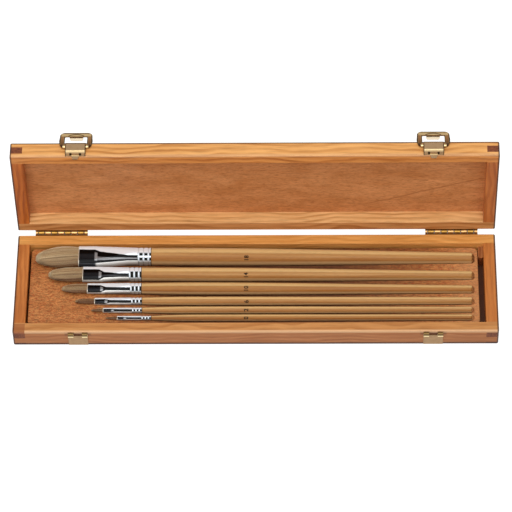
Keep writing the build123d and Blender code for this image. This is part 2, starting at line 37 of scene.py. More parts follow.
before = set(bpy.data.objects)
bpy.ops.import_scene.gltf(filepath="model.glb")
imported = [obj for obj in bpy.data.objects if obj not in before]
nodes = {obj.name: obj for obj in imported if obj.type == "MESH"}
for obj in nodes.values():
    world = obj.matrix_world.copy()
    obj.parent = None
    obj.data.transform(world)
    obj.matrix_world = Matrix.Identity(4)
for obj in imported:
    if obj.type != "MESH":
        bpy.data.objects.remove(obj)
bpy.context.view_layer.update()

MM = 0.001
# Places of the solids that the finishes follow, in millimetres, and the loops' rest in degrees.
CASE_FRONT = -46.0
CASE_END = 185.0
BASE_TOP = 17.2
PANEL = 3.0
LID_RIM = 48.8
LID_TOP = 62.5
LID_EDGE = 112.0
BOARD_TOP = 13.0
TAIL_X = 165.9
TAIL_SLOPE = 0.031
BELLY_REACH = 209.0
HINGE_CENTRE = 151.3
HINGE_AXIS = (48.65, 17.35)
KNUCKLE = 5.1
FIRST_KNUCKLE = 18.3
LATCH_CENTRE = 135.2
PIVOT = (56.8, 113.8)
LOOP_REST = 194.0
# How the ferrules are formed: lengths in millimetres, then shares and the ring's steps.
FERRULE_METAL = 0.45
CRIMPS = 3
CRIMP_FIRST = 2.3
CRIMP_REACH = 0.62
LIP_DEPTH = 0.12
LIP_REACH = 0.3
CORNER_SHARE = 0.96
FLAT_PRESS = 0.94
FLAT_STEPS, ARC_STEPS = 8, 10
# Each hair starts this many millimetres inside its ferrule.
HAIR_ROOT = 2.0
HAIR_STEPS = 8
HAIR_SIDES = 3
# In a brush's own frame: the way to the viewer, and the way to the box's rear across the view.
TOWARDS_VIEW = Vector((0, 0.6, 0.8))
ACROSS_VIEW = Vector((0, -0.8, 0.6))
# The camera: azimuth, elevation and roll in degrees, the point that it looks at and its distance
# from it in millimetres, and its focal length and picture in pixels.
CAMERA_TURN = (-1.74185, 53.32202, -1.57233)
CAMERA_AIM = (0.69, 0.0, 51.522)
CAMERA_AWAY = 2479.49
FOCAL_PIXELS = 3264.425
PICTURE_PIXELS = 512
SENSOR_WIDTH = 36.0
FLOOR_HALF = 6.0

# The six brushes, in millimetres, as the solids have them. For the finishes:
# "wood" is how amber the handle is and how streaked.
# "bands" is the length of the pressed face, and for the painted reflection the dark band's top and
# bottom at the mouth and then along the tube, the tones under and inside the band, and the light row
# between the crimps' spots.
# "belly_out" is how far the head swells and sags.
# "mark" is the size number's distance from the tail and its tilt.
# "hair_age" is how much browner the bristle is.
BRUSH_SIZES = {
    18: {
        "row": 25.6, "depth": 4.2, "length": 337.3, "hair": 33.3, "ferrule": 56.5, "tail": 4.5,
        "belly": 7.17, "neck": 6.95, "mouth": (18.0, 8.0), "flat": 12.5, "pitch": 3.8, "hairs": 2600,
        "wood": (0.35, 0.75), "bands": (12.5, (5.3, -4.6), ((4.0, 1.3), (-4.6, -2.6)), "#303134", "#7A7A7C", 0.09),
        "belly_out": (0.17, 2.2), "mark": (174.0, -0.1), "hair_age": 0.0,
    },
    14: {
        "row": 8.9, "depth": 3.0, "length": 326.2, "hair": 26.4, "ferrule": 45.8, "tail": 3.5,
        "belly": 5.6, "neck": 5.45, "mouth": (13.4, 6.0), "flat": 11.5, "pitch": 3.5, "hairs": 1800,
        "wood": (0.15, 0.5), "bands": (12.5, (3.9, -3.9), ((2.1, 1.0), (-2.2, -1.7)), "#BDB6AE", "#2A2A2C", -0.1),
        "belly_out": (0.08, 0.5), "mark": (173.7, -0.05), "hair_age": 0.13,
    },
    10: {
        "row": -4.3, "depth": 2.6, "length": 315.0, "hair": 19.6, "ferrule": 42.1, "tail": 3.2,
        "belly": 5.0, "neck": 4.25, "mouth": (8.9, 4.5), "flat": 10.0, "pitch": 3.0, "hairs": 1100,
        "wood": (0.7, 1.0), "bands": (10.1, (2.6, -2.7), ((1.3, 1.1), (-1.3, -1.2)), "#B8B0A8", "#0A0A0C", -0.1),
        "belly_out": (0.07, 0.3), "mark": (173.0, 0.05), "hair_age": 0.3,
    },
    6: {
        "row": -15.4, "depth": 2.0, "length": 303.9, "hair": 14.7, "ferrule": 36.9, "tail": 2.9,
        "belly": 3.53, "neck": 2.75, "mouth": (5.6, 3.2), "flat": 8.6, "pitch": 2.8, "hairs": 480,
        "wood": (0.1, 0.3), "bands": (7.9, (1.6, -1.9), ((1.0, 0.9), (-1.1, -1.1)), "#B8B0A8", "#040405", -0.1),
        "belly_out": (0.05, 0.0), "mark": (172.3, -0.1), "hair_age": 0.62,
    },
    2: {
        "row": -23.7, "depth": 1.7, "length": 291.2, "hair": 9.1, "ferrule": 30.3, "tail": 2.4,
        "belly": 2.92, "neck": 2.0, "mouth": (4.0, 2.2), "flat": 6.3, "pitch": 2.5, "hairs": 110,
        "wood": (0.35, 0.4), "bands": (6.3, (1.1, -1.2), ((0.9, 0.9), (-0.9, -0.9)), "#B8B0A8", "#040405", -0.1),
        "belly_out": (0.0, 0.0), "mark": (172.2, 0.05), "hair_age": 0.52,
    },
    0: {
        "row": -30.9, "depth": 1.6, "length": 279.5, "hair": 8.6, "ferrule": 26.5, "tail": 2.4,
        "belly": 2.7, "neck": 1.6, "mouth": (3.4, 2.0), "flat": 4.8, "pitch": 2.4, "hairs": 60,
        "wood": (1.0, 0.6), "bands": (5.0, (0.9, -0.9), ((0.7, 0.7), (-0.7, -0.7)), "#B8B0A8", "#1A1A1C", -0.1),
        "belly_out": (0.0, 0.0), "mark": (172.0, 0.0), "hair_age": 0.52,
    },
}


def linear(hex_colour):
    """Turn an sRGB hex colour into linear red, green, blue and alpha."""
    channels = [int(hex_colour[i : i + 2], 16) / 255 for i in (1, 3, 5)]
    return (*[c / 12.92 if c <= 0.04045 else ((c + 0.055) / 1.055) ** 2.4 for c in channels], 1.0)


def set_inputs(node, inputs):
    """Give a node's inputs their values, or the outputs that feed them."""
    for key, value in inputs.items():
        if isinstance(value, bpy.types.NodeSocket):
            node.id_data.links.new(value, node.inputs[key])
        else:
            node.inputs[key].default_value = value


def add_node(tree, kind, inputs=None, **settings):
    """Add a shader node with its settings and its inputs."""
    node = tree.nodes.new("ShaderNode" + kind)
    for name, value in settings.items():
        setattr(node, name, value)
    set_inputs(node, inputs or {})
    return node


def feed(kind, inputs, **settings):
    """Add a shader node to the tree of the outputs that feed it."""
    tree = next(value.id_data for value in inputs.values() if isinstance(value, bpy.types.NodeSocket))
    return add_node(tree, kind, inputs, **settings)


def maths(operation, first, *others):
    """Combine numbers by the same maths, one after the other."""
    for other in others:
        first = feed("Math", {0: first, 1: other}, operation=operation).outputs[0]
    return first


def times(*values):
    """Multiply numbers."""
    return maths("MULTIPLY", *values)


def plus(*values):
    """Add numbers."""
    return maths("ADD", *values)


def minus(*values):
    """Take numbers from the first."""
    return maths("SUBTRACT", *values)


def most(*values):
    """Give the greatest of some numbers."""
    return maths("MAXIMUM", *values)


def size_of(value):
    """Give a number without its sign."""
    return feed("Math", {0: value}, operation="ABSOLUTE").outputs[0]


def fraction(value):
    """Give what a number has past the whole number below it."""
    return feed("Math", {0: value}, operation="FRACT").outputs[0]


def vectors(operation, first, second):
    """Combine two vectors."""
    return feed("VectorMath", {0: first, 1: second}, operation=operation).outputs[0]


def from_line(vector, line=(0, 0, 0)):
    """Give how far a point lies from a line that runs along X through another point."""
    across = vectors("MULTIPLY", vectors("SUBTRACT", vector, line), (0, 1, 1))
    return feed("VectorMath", {0: across}, operation="LENGTH").outputs["Value"]


def split(vector):
    """Split a vector into X, Y and Z."""
    return feed("SeparateXYZ", {0: vector}).outputs


def spread(value, low, high, lowest=0.0, highest=1.0):
    """Turn what lies between low and high into what lies between two other values."""
    return feed("MapRange", {0: value, 1: low, 2: high, 3: lowest, 4: highest}).outputs[0]


def past(value, edge, soft):
    """Give 1 where a value is past an edge and 0 before it. A negative softness turns this round."""
    return spread(value, edge - soft / 2, edge + soft / 2)


def within(value, low, high, soft):
    """Give 1 where a value lies between two edges, with soft borders."""
    return times(past(value, low, soft), past(value, high, -soft))


def ramp(value, *stops):
    """Turn a number into a colour by stops: a place, and a hex value, a grey level or a colour."""
    node = feed("ValToRGB", {"Fac": value})
    elements = node.color_ramp.elements
    while len(elements) < len(stops):
        elements.new(1.0)
    for element, (place, colour) in zip(elements, stops):
        element.position = place
        if isinstance(colour, str):
            colour = linear(colour)
        elif isinstance(colour, float):
            colour = (colour, colour, colour, 1.0)
        element.color = colour
    return node.outputs["Color"]


def coat(base, colour, *shares, mode="MIX"):
    """Lay a colour over another by the product of shares. A colour may also be a hex value."""
    base, colour = [linear(value) if isinstance(value, str) else value for value in (base, colour)]
    mixed = {0: times(*shares), 6: base, 7: colour}
    return feed("Mix", mixed, data_type="RGBA", blend_type=mode).outputs[2]


def tint(base, tone, share=1.0):
    """Multiply a colour by a tone."""
    return coat(base, tone, share, mode="MULTIPLY")


def noise(vector, lengths, detail=2.0, roughness=0.5, distortion=0.0):
    """Give noise from 0 to 1 with features this long in X, Y and Z, in millimetres. Z may be as Y."""
    scaled = vectors("MULTIPLY", vector, [1 / length for length in (*lengths, lengths[1])[:3]])
    shape = {"Scale": 1.0, "Detail": detail, "Roughness": roughness, "Distortion": distortion}
    return feed("TexNoise", {"Vector": scaled, **shape}).outputs["Fac"]


def bump(height, strength, depth):
    """Give the bumped normal of a height that reaches this many millimetres."""
    return feed("Bump", {"Height": height, "Strength": strength, "Distance": depth * MM}).outputs[0]


def new_material(name):
    """Start a node material and give it with its tree and its shader."""
    material = bpy.data.materials.new(name)
    material.use_nodes = True
    return material, material.node_tree, material.node_tree.nodes["Principled BSDF"]


def dress(name, material):
    """Give a solid of the frame its finish."""
    mesh = nodes[name].data
    mesh.materials.clear()
    mesh.materials.append(material)


def board_coordinates(tree, along, shift):
    """Give a board's own coordinates in millimetres, its grain along X."""
    turn = {"X": (0, 0, 0), "Y": (0, 0, -math.pi / 2), "Z": (0, math.pi / 2, 0)}[along]
    place = add_node(tree, "TexCoord").outputs
    turned = {"Vector": place["Object"], "Rotation": turn, "Scale": (1000, 1000, 1000)}
    return place, feed("Mapping", {**turned, "Location": shift}).outputs["Vector"]


def in_millimetres(vector):
    """Turn a vector from metres to millimetres."""
    return vectors("MULTIPLY", vector, (1000, 1000, 1000))


def own_place(place):
    """Split a piece's own place into X, Y and Z in millimetres."""
    return split(in_millimetres(place["Object"]))


def deepened(colour, amount):
    """Darken a wood colour the way stain does, its green and blue more than its red."""
    red, green, blue = colour[:3]
    left = 1 - amount
    return (red * left, green * left**1.5, blue * left**2.2, 1.0)


def sawn_pine(name, along, colour, depth, shift, rings, drift_depth, half=None, rim=None):
    """Build stained, satin-varnished softwood.

    Growth rings show as wavy lines with one sharp side, over fine fibres and a slow drift of hue.
    Where the grain runs into a face, the stain has gone in deep and dark.
    """
    material, tree, shader = new_material(name)
    place, grain = board_coordinates(tree, along, shift)
    pitch, pith_y, pith_z = rings
    from_pith = from_line(grain, (0, shift[1] + pith_y, shift[2] + pith_z))
    sway = times(noise(grain, (60.0, 40.0)), 13.0)
    ragged = times(noise(grain, (11.0, 1.6), detail=3.0), 1.1)
    ring = fraction(maths("DIVIDE", plus(from_pith, sway, ragged), pitch))
    late_wood = ramp(ring, (0.0, 0.0), (0.35, 0.08), (0.6, 0.85), (0.84, 1.0), (1.0, 0.0))
    patchy = spread(noise(grain, (48.0, 7.0)), 0.3, 0.62, 0.25)
    drift = noise(grain, (42.0, 9.0), detail=4.0, roughness=0.6)
    ground = coat(colour, deepened(colour, drift_depth), past(drift, 0.5, 0.3))
    ringed = coat(ground, deepened(colour, depth), late_wood, patchy)
    fibres = noise(grain, (18.0, 0.9), detail=4.0, roughness=0.65)
    fibrous = tint(ringed, ramp(fibres, (0.28, 0.7), (0.5, 1.0), (0.72, 1.0)))
    speckle = noise(grain, (0.8, 0.8, 2.4), detail=3.0)
    end_tone = coat("#54240E", "#8A4A24", past(speckle, 0.5, 0.4))
    coloured = coat(fibrous, end_tone, past(size_of(split(place["Normal"])[along]), 0.72, 0.25))
    if half:
        coloured = stained_edges(place, coloured, half, rim)
    varnish = {"Roughness": spread(fibres, 0, 1, 0.4, 0.55), "Normal": bump(fibres, 0.25, 0.06)}
    set_inputs(shader, {"Base Color": coloured, **varnish, "IOR": 1.5, "Specular IOR Level": 0.3})
    return material


def stained_edges(place, colour, half, rim):
    """Tint the side towards the user with painted shade, darken the outer edges with stain and painted shade, paint
    shade behind the catches and paint a highlight along the rim.
    """
    x, y, z = own_place(place)
    face_x, face_y, face_z = split(place["Normal"])
    # Painted shade: the side that faces the user gets less light than the tops, so it is tinted darker.
    tinted = tint(colour, rim, past(face_y, -0.6, -0.4))
    # The dark lines along the outer edges are partly stain and partly painted shade, at the base's foot a
    # painted contact shadow. They are drawn about twice as wide as real ones, so that they show at a distance.
    ends = times(past(size_of(x), CASE_END - 1.2, 0.8), past(size_of(face_x), 0.93, -0.1))
    if half == "base":
        far_line = times(past(z, PANEL - 0.2, -0.8), past(face_z, -0.93, 0.1))
        # The top of the joint in the front left corner is end grain, dark and kept out of the rim's painted
        # highlight.
        top = times(past(x, -175.7, -0.3), past(y, -38.0, -0.3), past(z, BASE_TOP - 2.7, 0.5))
        wear_and_light = times(past(y, CASE_FRONT + 1.4, -0.8), past(z, BASE_TOP - 1.9, 1.0), 0.75, minus(1.0, top))
        tinted = coat(tinted, "#8A4620", top, 0.6)
        # Painted shade darkens the wall behind each catch, and less so beside it.
        front = times(past(y, CASE_FRONT + 1.5, -0.5), within(z, 12.6, 16.6, 0.4))
        aside = from_latch(x)
        window = times(front, past(aside, 3.6, -0.4), 0.85)
        around = times(front, past(aside, 10.0, -0.8), 0.45)
        tinted = coat(tinted, "#4A2008", most(window, around))
    else:
        far_line = times(past(y, LID_TOP - 1.6, 0.8), past(face_y, 0.93, -0.1))
        wear_and_light = times(past(y, LID_RIM + 2.2, -1.4), past(z, LID_EDGE - 1.2, 0.8), 0.4)
    # The polished look of the front rim is a painted highlight along its rounded edge.
    polished = coat(tinted, "#E6B88A", wear_and_light)
    return coat(polished, "#32170A", most(ends, far_line), 0.88)


def from_latch(x):
    """Give how far a point lies to either side of the nearer latch's middle."""
    return size_of(minus(size_of(x), LATCH_CENTRE))


def rotary_veneer(name, colour, shift, figure, contrast, flecks, detail=None):
    """Build stained, rotary-cut veneer: short ragged figure, small flecks and pin knots."""
    material, tree, shader = new_material(name)
    place, grain = board_coordinates(tree, "X", shift)
    length, width, share, fleck = flecks
    clouds = noise(grain, (40.0, 14.0), detail=3.0, distortion=0.6)
    painted = coat(colour, deepened(colour, 0.2), past(clouds, 0.5, 0.3))
    ragged = noise(grain, figure, detail=4.0, roughness=0.65, distortion=0.5)
    speckle = noise(grain, (length / 2, width * 0.7), detail=3.0, roughness=0.7)
    for pattern, darkest, middling in ((ragged, 1.0, 0.3), (speckle, 1.2, 0.25)):
        stops = (0.3, 1 - darkest * contrast), (0.5, 1 - middling * contrast), (0.68, 1.0)
        painted = tint(painted, ramp(pattern, *stops))
    dashes = noise(grain, (length, width), distortion=0.3)
    painted = coat(painted, fleck, past(dashes, 0.6, 0.14), share)
    # Pin knots lie about 46 mm apart along the grain and 30 mm across it.
    spacing = vectors("MULTIPLY", grain, (1 / 46, 1 / 30, 1 / 30))
    knots = feed("TexVoronoi", {"Vector": spacing, "Scale": 1.0}).outputs["Distance"]
    painted = coat(painted, "#5A2A16", past(knots, 0.035, -0.02), 0.6)
    if detail:
        painted = detail(place, painted)
    oil = {"Roughness": spread(ragged, 0, 1, 0.45, 0.6), "Normal": bump(dashes, 0.2, 0.05)}
    set_inputs(shader, {"Base Color": painted, **oil, "IOR": 1.5, "Specular IOR Level": 0.3})
    return material


def slanting_line(place, colour):
    """Draw the fine slanting veneer line that crosses the lid panel's right part."""
    own = in_millimetres(place["Object"])
    x, _, z = split(own)
    run = spread(x, 78.0, 172.0, 34.5, 68.0)
    waver = times(noise(own, (18.0, 18.0), detail=3.0), 4.0)
    line = past(size_of(minus(z, run, waver)), 0.6, -0.6)
    return coat(colour, "#8A4A22", line, past(x, 89.0, 22.0), 0.5)


def handled_board(place, colour):
    """Paint shade into the grooves and between the handles in the middle, and paint the right end paler, where the
    gaps between the handles are broad.
    """
    x, _, z = own_place(place)
    # Painted shade in the grooves, and where the handles stand close together.
    sunk = times(past(z, BOARD_TOP - 0.25, -0.3), 0.65, past(x, 158.0, -16.0))
    middle = times(within(x, -88.0, 95.0, 70.0), 0.6)
    between_handles = times(within(x, -75.0, 138.0, 24.0), 0.25)
    colour = coat(colour, "#3C1A08", most(sunk, plus(middle, between_handles)))
    # Painted light makes the right end paler.
    return coat(colour, "#D8A06C", past(x, 152.0, 18.0), 0.26)


def plated_brass(name, colour, dark, roughness, tarnish, shade=None):
    """Build brass plate: even metal with cloudy patches of darker tarnish, and the painted light and shade that a
    shading function adds.
    """
    material, tree, shader = new_material(name)
    place, grain = board_coordinates(tree, "X", (0, 0, 0))
    clouds = noise(grain, (2.5, 2.5), detail=4.0)
    tinted = coat(colour, dark, past(clouds, 0.57, 0.3), tarnish)
    if shade:
        tinted = shade(place, tinted)
    scratches = noise(grain, (6.0, 0.25))
    gloss = spread(scratches, 0, 1, roughness - 0.05, roughness + 0.08)
    brushed = {"Roughness": gloss, "Normal": bump(scratches, 0.15, 0.03)}
    set_inputs(shader, {"Base Color": tinted, "Metallic": 1.0, **brushed})
    return material


def hinge_tarnish(place, colour):
    """Paint shade into the seams between the knuckles, and shade with some tarnish onto the leaf's edge under the
    barrel.
    """
    own = in_millimetres(place["Object"])
    x = split(own)["X"]
    across = minus(size_of(x), HINGE_CENTRE)
    # Knuckles of the left hinge run the same way as those of the right, so the pattern turns over.
    turned = times(across, minus(1.0, times(past(x, 0.0, -1.0), 2.0)))
    # The twenty whole knuckles that are added keep the value above zero.
    turns = maths("DIVIDE", plus(turned, FIRST_KNUCKLE + 20 * KNUCKLE), KNUCKLE)
    from_middle = size_of(minus(fraction(turns), 0.5))
    from_axis = from_line(own, (0, *HINGE_AXIS))
    # Painted shade with some tarnish on the leaf's edge under the barrel, and painted shade in the seams.
    tucked = times(within(from_axis, 1.5, 3.2, 0.1), 0.7)
    seams = times(past(from_axis, 1.5, -0.1), past(from_middle, 0.4, 0.06), 0.85)
    return coat(colour, "#38220E", most(tucked, seams))


def plate_shade(place, colour):
    """Paint highlights on the housing's front bend and the tongue's root, and paint shade on its folded sides, its
    back edge and beside the tongue.
    """
    x, y, _ = own_place(place)
    aside = from_latch(x)
    # Painted highlights on the front bend and on the tongue's root.
    bend = within(y, 51.5, 52.9, 0.5)
    root = times(within(y, 48.6, 49.8, 0.3), past(aside, 2.9, -0.2))
    bright = coat(colour, "#EAD2A0", most(bend, root), 0.62)
    # Painted shade on the folded sides, the back edge and the notches beside the tongue.
    notch = times(within(y, 49.6, 51.3, 0.3), within(aside, 2.8, 4.5, 0.3))
    dark = most(past(aside, 7.1, 0.5), past(y, 59.1, 0.5), notch)
    return coat(bright, "#33200E", dark, 0.85)


def loop_shade(place, colour):
    """Paint the light and shade of a rounded stamping onto the loop: dark outlines outside, copper reflections
    between, cream highlights within.
    """
    x, y, z = own_place(place)
    aside = from_latch(x)
    lean = math.radians(LOOP_REST - 180)
    y_out = minus(y, PIVOT[0])
    z_out = minus(z, PIVOT[1])
    along = minus(times(y_out, math.cos(lean)), times(z_out, math.sin(lean)))
    below = plus(times(y_out, -math.sin(lean)), times(z_out, -math.cos(lean)))
    # Painted copper reflections on the arms, and painted shade along the outer edges, the arms' inner edges, the feet
    # and the legs.
    arm = past(along, 12.6, -0.8)
    shaded = coat(colour, "#8C5A34", arm, within(aside, 9.3, 11.4, 0.9), 0.8)
    rim = most(past(aside, 11.5, 0.7), past(along, 16.1, 0.5))
    inner = times(arm, within(aside, 8.3, 9.1, 0.4), past(along, 2.5, 1.0))
    foot = times(past(along, 3.0, -2.5), past(aside, 9.9, 0.6))
    leg = times(past(along, 6.5, -7.0), past(aside, 9.0, 0.6), 0.6)
    shaded = coat(shaded, "#2C1A0A", most(rim, inner, foot, leg), 0.9)
    # Painted cream highlights on the pivot ends and the bar.
    cream = times(within(along, -1.2, 1.3, 0.5), past(aside, 9.7, -0.5), 0.7)
    bar = times(within(along, 12.6, 15.6, 0.6), past(aside, 11.2, -0.8), 0.35)
    shaded = coat(shaded, "#E0C696", most(cream, bar))
    # A painted shade arc along the bar above the tab.
    arch = plus(along, times(aside, aside, 0.055))
    fold = times(within(arch, 14.4, 15.6, 0.4), past(aside, 6.0, -0.8))
    shaded = coat(shaded, "#4A3014", fold, 0.85)
    # The flat tab mirrors the key lamp, so its metal is given darker than it looks.
    tab_tone = coat("#7E663C", "#877D6C", past(below, 1.8, 1.4))
    return coat(shaded, tab_tone, past(below, 0.75, 0.3))


def catch_shade(place, colour):
    """Paint shade on the rolled hooks' tops and highlights on their noses, apart from the flat plate."""
    height = own_place(place)["Z"]
    upward = split(place["Normal"])["Z"]
    hook = past(height, 12.9, 0.3)
    # Painted shade on the hooks' upward faces and noses, and a painted highlight on the noses' lower part.
    top = times(hook, past(upward, 0.55, 0.3), 0.85)
    nose = times(hook, past(upward, 0.6, -0.3))
    shaded = coat(colour, "#5C4824", most(top, times(nose, 0.85)))
    return coat(shaded, "#EAD4A4", nose, past(height, 14.7, -0.4))


def brush_frame(size):
    """Give a brush's own frame: X from the tail to the hair, Z up, with the tail at the origin."""
    rise = math.atan((size["belly"] - size["tail"]) / BELLY_REACH)
    x_axis = Vector((-math.cos(rise), 0, math.sin(rise)))
    z_axis = Vector((math.sin(rise), 0, math.cos(rise)))
    place = Matrix((x_axis, z_axis.cross(x_axis), z_axis)).transposed().to_4x4()
    tail_x = TAIL_X + TAIL_SLOPE * size["row"]
    place.translation = Vector((tail_x, size["row"], BOARD_TOP - size["depth"] + size["tail"])) * MM
    return place


def across_view(y, z):
    """Give how far towards the box's rear a point of a brush lies, across the view."""
    return plus(times(y, ACROSS_VIEW.y), times(z, ACROSS_VIEW.z))


def lacquered_handle(number, size, colour, streak, streak_share):
    """Build clear-lacquered, light hardwood: golden streaks along a turned handle, with painted highlights on its
    upper side and painted shade towards its lower side.
    """
    material, tree, shader = new_material(f"Lacquered_Beech_{number}")
    inverse = brush_frame(size).inverted()
    turned = {"Location": inverse.translation, "Rotation": inverse.to_euler()}
    turned["Vector"] = add_node(tree, "TexCoord").outputs["Object"]
    own = in_millimetres(feed("Mapping", turned).outputs["Vector"])
    grain = vectors("ADD", own, (37.0 * number, 11.0 * number, 5.0 * number))
    _, y, z = split(own)
    side = maths("DIVIDE", across_view(y, z), from_line(own))
    figure = noise(grain, (110.0, 2.2), detail=3.0)
    ground = coat(colour, deepened(colour, 0.22), past(figure, 0.5, 0.24))
    # The golden streaks keep to a band across the view: partly the wood's figure and partly a painted reflection.
    waver = noise(grain, (70.0, 30.0))
    middle = within(plus(side, times(waver, 0.7), -0.35), -0.3, 0.28, 0.36)
    streaks = noise(grain, (80.0, 1.5))
    lit = coat(ground, streak, middle, past(streaks, 0.46, 0.3), streak_share)
    # A painted highlight along the upper side.
    lit = coat(lit, "#F2D092", within(side, 0.5, 0.97, 0.22), 0.55)
    # Painted shade darkens the handle towards its lower side.
    wear_and_light = (0.0, "#5E4830"), (0.08, "#A08460"), (0.22, "#C8B292"), (0.4, "#EEE2D0"), (0.58, 1.0)
    lit = tint(lit, ramp(spread(side, -1.0, 1.0), *wear_and_light))
    # Painted light bounced from the board along the lower side.
    lit = coat(lit, "#DCB884", within(side, -0.9, -0.5, 0.25), 0.5)
    pores = noise(grain, (5.0, 0.5), detail=3.0)
    lit = tint(lit, ramp(pores, (0.3, 0.84), (0.5, 1.0), (0.7, 1.0)))
    lacquer = {"Roughness": 0.45, "IOR": 1.5, "Specular IOR Level": 0.25}
    set_inputs(shader, {"Base Color": lit, **lacquer, "Coat Weight": 0.1, "Coat Roughness": 0.2})
    return material


def nickel(number, size, colour):
    """Build polished nickel.

    A flat polished face shows the dark of the room and a rounded one its light. These reflections are
    painted into the colour: the pressed stretch is black between white edges, and the band narrows
    along the round tube to the crimps.
    """
    material, tree, shader = new_material(f"Polished_Nickel_{number}")
    place, grain = board_coordinates(tree, "X", (7.0 * number, 3.0, 5.0))
    x, y, z = own_place(place)
    neck = size["neck"]
    pressed, bands, round_bands, lower, inside, row = size["bands"]
    back = minus(size["length"] - size["hair"], x)
    first_crimp = size["ferrule"] - CRIMP_FIRST - (CRIMPS - 1) * size["pitch"]
    turn = past(back, pressed + 2.2, 4.0)
    # The top and bottom of the painted dark reflection band, at the mouth and then along the tube to the crimps.
    edges = []
    for at_mouth, (near, far) in zip(bands, round_bands):
        on_tube = spread(back, pressed + 3, first_crimp - 8, near, far)
        edges.append(plus(times(minus(1.0, turn), at_mouth), times(turn, on_tube)))
    top, bottom = edges
    waver = times(noise(grain, (7.0, 2.5)), 0.07 * neck)
    side = plus(across_view(y, z), waver, -0.035 * neck)
    level = maths("DIVIDE", minus(side, bottom), minus(top, bottom))
    level = maths("DIVIDE", plus(level, 1.0), 3.0)
    # Painted reflection tones across the pressed face and across the round tube, from the lower edge up.
    on_face = (
        (0.0, lower), (0.315, lower), (0.33, "#020203"), (0.4, "#040405"), (0.46, "#1E2024"),
        (0.53, "#222428"), (0.58, "#040405"), (0.665, "#020203"), (0.676, colour), (0.8, colour),
    )
    on_tube = (
        (0.0, "#6E645A"), (0.13, "#B8B2AA"), (0.315, "#E6E4E0"), (0.33, "#020203"), (0.4, "#030304"),
        (0.42, inside), (0.49, inside), (0.515, "#030304"), (0.665, "#020203"), (0.68, colour),
    )
    painted = coat(ramp(level, *on_face), ramp(level, *on_tube), past(back, pressed + 1.2, 1.6))
    # A painted grey reflection where the pressed face turns into the tube.
    turn_patch = within(back, pressed + 0.2, pressed + 2.2, 0.8)
    painted = coat(painted, "#A4A6A8", turn_patch, within(level, 0.39, 0.6, 0.04), 0.75)
    # Painted reflections on the crimps: light beads with dark spots, and painted shade in the grooves.
    bead = maths("DIVIDE", minus(back, first_crimp), size["pitch"])
    between = size_of(minus(fraction(bead), 0.5))
    bead_tone = coat("#A09A92", colour, past(side, -0.45 * neck, 0.3 * neck))
    away = size_of(minus(side, 0.02 * neck))
    spots = times(within(away, row * neck, 0.44 * neck, 0.1 * neck), past(between, 0.34, -0.14))
    grooves = times(past(between, 0.42, 0.1), 0.3)
    bead_tone = coat(bead_tone, "#100E0C", most(spots, grooves))
    painted = coat(painted, bead_tone, past(back, first_crimp - 0.6, 0.8))
    # A painted highlight along the rolled lip at the hair, and the dark joint at the handle.
    painted = coat(painted, "#D8CDBA", past(back, 0.55, -0.3))
    painted = coat(painted, "#3A2C1C", past(back, size["ferrule"] - 0.5, 0.4))
    gloss = spread(noise(grain, (5.0, 0.4)), 0, 1, 0.14, 0.24)
    polish = {"Metallic": 0.3, "Specular IOR Level": 0.12, "Roughness": gloss}
    set_inputs(shader, {"Base Color": painted, **polish})
    return material


def bristle(name, colour):
    """Build bleached bristle: dull, fine and dry, each hair a little lighter or darker, with painted light and shade
    carried in the hairs' tones.
    """
    material, tree, shader = new_material(name)
    tone = add_node(tree, "Attribute", attribute_name="hair_tone").outputs["Fac"]
    shaded = coat(deepened(colour, 0.72), colour, past(tone, 0.3, 0.6))
    # The palest tones, at the rear edge and the tips, get a painted cream highlight.
    shaded = coat(shaded, "#F0DDB6", past(tone, 0.85, 0.3))
    dull = {"Roughness": 0.55, "IOR": 1.55, "Specular IOR Level": 0.3}
    set_inputs(shader, {"Base Color": shaded, **dull, "Sheen Weight": 0.1, "Sheen Roughness": 0.4})
    return material


def stamped_ink(name, colour):
    """Build matt foil ink with worn specks, as pressed into the handles."""
    material, tree, shader = new_material(name)
    grain = board_coordinates(tree, "X", (0, 0, 0))[1]
    wear_and_light = past(noise(grain, (0.5, 0.5)), 0.6, 0.2)
    matt = {"Roughness": 0.6, "IOR": 1.5, "Specular IOR Level": 0.15}
    set_inputs(shader, {"Base Color": coat(colour, "#7A5830", wear_and_light, 0.3), **matt})
    return material


def rounded_ring(width, height, corner):
    """List a rounded rectangle's points, anticlockwise from its right side."""
    half_flat, half_side = width / 2 - corner, height / 2 - corner
    points = []
    for quarter, (side, rise) in enumerate(((1, 1), (-1, 1), (-1, -1), (1, -1))):
        for step in range(ARC_STEPS + 1):
            angle = (quarter + step / ARC_STEPS) * math.pi / 2
            points.append((side * half_flat + corner * math.cos(angle), rise * half_side + corner * math.sin(angle)))
        if quarter in (0, 2):
            start, end = side * half_flat, -side * half_flat
            for step in range(1, FLAT_STEPS):
                points.append((start + (end - start) * step / FLAT_STEPS, rise * (half_side + corner)))
    return points


def skin_rings(rings):
    """Join rings of points, each a place along X with its points across, into an open tube."""
    build = bmesh.new()
    loops = [[build.verts.new((x * MM, y * MM, z * MM)) for y, z in points] for x, points in rings]
    for first, second in zip(loops, loops[1:]):
        bridge(build, first, second)
    bmesh.ops.recalc_face_normals(build, faces=build.faces)
    return build


def bridge(build, first, second):
    """Close the gap between two loops of points with faces."""
    for index in range(len(first)):
        after = (index + 1) % len(first)
        build.faces.new((first[index], first[after], second[after], second[index]))


def add_object(name, data):
    """Add an object with its data to the scene."""
    added = bpy.data.objects.new(name, data)
    bpy.context.scene.collection.objects.link(added)
    return added


